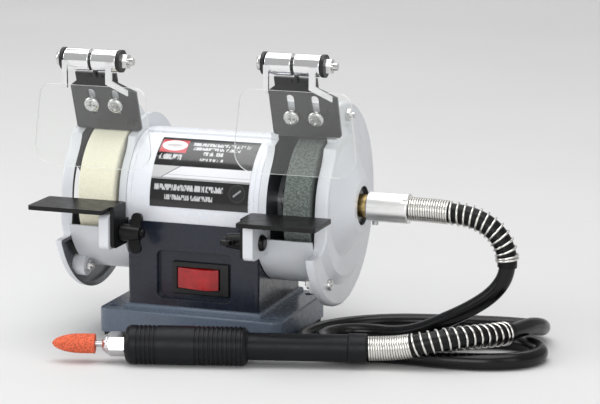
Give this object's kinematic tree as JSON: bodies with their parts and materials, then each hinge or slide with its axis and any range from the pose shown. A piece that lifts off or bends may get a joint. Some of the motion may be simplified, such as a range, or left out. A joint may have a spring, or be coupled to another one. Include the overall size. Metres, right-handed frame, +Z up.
{
  "type": "bench_grinder",
  "caption": "Small bench grinder with a felt wheel, a grinding wheel, clear eye shields, tool rests and a flexible shaft with a rotary handpiece",
  "frame": {"origin": "middle of the base footprint on the bench surface", "axes": "X along the motor shaft towards the grinding wheel and flexible shaft, Y away from the operator, Z up"},
  "size_m": [0.2657, 0.1463, 0.1535],
  "materials": {
    "base_plastic": "satin",
    "black_plastic": "satin",
    "red_lens": "gloss",
    "rubber": "matte",
    "white_paint": "semi_gloss",
    "guard_paint": "semi_gloss",
    "label": "gloss",
    "black_paint": "gloss",
    "steel": "brushed",
    "chrome": "polished",
    "lamination": "satin",
    "winding": "gloss",
    "clear": "clear",
    "felt": "matte",
    "grinding_stone": "matte",
    "brass": "satin",
    "bare_aluminium": "satin",
    "sheath_vinyl": "gloss",
    "orange_stone": "matte"
  },
  "bodies": {
    "base": {"base_pedestal": "base_plastic", "bottom_plate": "steel", "rubber_feet": "rubber", "bottom_plate_screws": "steel", "switch_bezel": "black_plastic", "mains_gland": "black_plastic", "capacitor": "black_plastic", "motor_housing": "white_paint", "end_bells": "white_paint", "label_plate": "label", "stator_core": "lamination", "stator_windings": "winding", "shaft_bearings": "chrome", "left_wheel_guard": "guard_paint", "right_wheel_guard": "guard_paint", "left_guard_cover": "guard_paint", "right_guard_cover": "guard_paint", "cover_screws": "chrome", "cover_nuts": "chrome", "bracket_screws": "chrome", "rest_bolts": "chrome", "coupling_retainer": "black_paint", "coupling_bush": "brass", "coupling_barrel": "bare_aluminium", "coupling_set_screw": "steel", "shaft_sheath": "sheath_vinyl", "motor_spring_guard": "chrome", "motor_end_ferrule": "black_plastic", "tool_end_ferrule": "black_plastic", "tool_spring_guard": "chrome", "handpiece_body": "black_plastic", "handpiece_rear_tube": "black_plastic", "handpiece_collar": "bare_aluminium", "handpiece_bearings": "chrome"},
    "rotor": {"rotor_shaft": "steel", "rotor_core": "lamination", "cooling_fan": "black_plastic", "felt_wheel": "felt", "grinding_wheel": "grinding_stone", "wheel_flanges": "steel", "wheel_nuts": "brass"},
    "handpiece_spindle_body": {"handpiece_spindle": "steel", "collet_nut": "chrome", "mounted_stone": "orange_stone", "stone_mandrel": "steel"},
    "switch": {"switch_rocker": "red_lens"},
    "left_bracket": {"left_shield_bracket": "black_paint", "left_hinge_discs": "black_plastic", "left_hinge_bolt": "chrome"},
    "right_bracket": {"right_shield_bracket": "black_paint", "right_hinge_discs": "black_plastic", "right_hinge_bolt": "chrome"},
    "left_shield": {"left_shield_holder": "chrome", "left_eye_shield": "clear"},
    "right_shield": {"right_shield_holder": "chrome", "right_eye_shield": "clear"},
    "left_rest": {"left_tool_rest": "black_paint"},
    "right_rest": {"right_tool_rest": "black_paint"},
    "left_wing": {"left_wing_nut": "steel"},
    "right_wing": {"right_wing_nut": "steel"}
  },
  "joints": [
    {"name": "rotor_spin", "type": "hinge", "parent": "base", "child": "rotor", "pos_m": [0, 0.0034, 0.0718], "axis": [1, 0, 0], "continuous": true},
    {"name": "handpiece_spindle_spin", "type": "hinge", "parent": "base", "child": "handpiece_spindle_body", "pos_m": [0.00263, -0.0723, 0.00975], "axis": [-0.9617, -0.274, 0], "continuous": true},
    {"name": "left_bracket_slide", "type": "slide", "parent": "base", "child": "left_bracket", "axis": [0, -0.342, 0.9397], "range_m": [-0.0003, 0.004]},
    {"name": "right_bracket_slide", "type": "slide", "parent": "base", "child": "right_bracket", "axis": [0, -0.342, 0.9397], "range_m": [-0.0035, 0]},
    {"name": "left_shield_tilt", "type": "hinge", "parent": "left_bracket", "child": "left_shield", "pos_m": [-0.0549, -0.02837, 0.14447], "axis": [1, 0, 0], "range_deg": [-75, 0]},
    {"name": "right_shield_tilt", "type": "hinge", "parent": "right_bracket", "child": "right_shield", "pos_m": [0.0549, -0.02955, 0.14771], "axis": [1, 0, 0], "range_deg": [-75, 0]},
    {"name": "left_rest_slide", "type": "slide", "parent": "base", "child": "left_rest", "axis": [0, -1, 0], "range_m": [-0.001, 0.005]},
    {"name": "right_rest_slide", "type": "slide", "parent": "base", "child": "right_rest", "axis": [0, -1, 0], "range_m": [-0.001, 0.005]},
    {"name": "left_wing_nut_turn", "type": "hinge", "parent": "base", "child": "left_wing", "pos_m": [-0.027, -0.042, 0.0585], "axis": [1, 0, 0], "range_deg": [0, 180]},
    {"name": "right_wing_nut_turn", "type": "hinge", "parent": "base", "child": "right_wing", "pos_m": [0.027, -0.042, 0.0585], "axis": [1, 0, 0], "range_deg": [0, 180]},
    {"name": "switch_rocker_tilt", "type": "hinge", "parent": "base", "child": "switch", "pos_m": [0.0027, -0.0235, 0.03395], "axis": [0, 0, 1], "range_deg": [0, 9]}
  ],
  "couplings": [
    {"joint": "handpiece_spindle_spin", "follows": "rotor_spin", "ratio": 1}
  ]
}
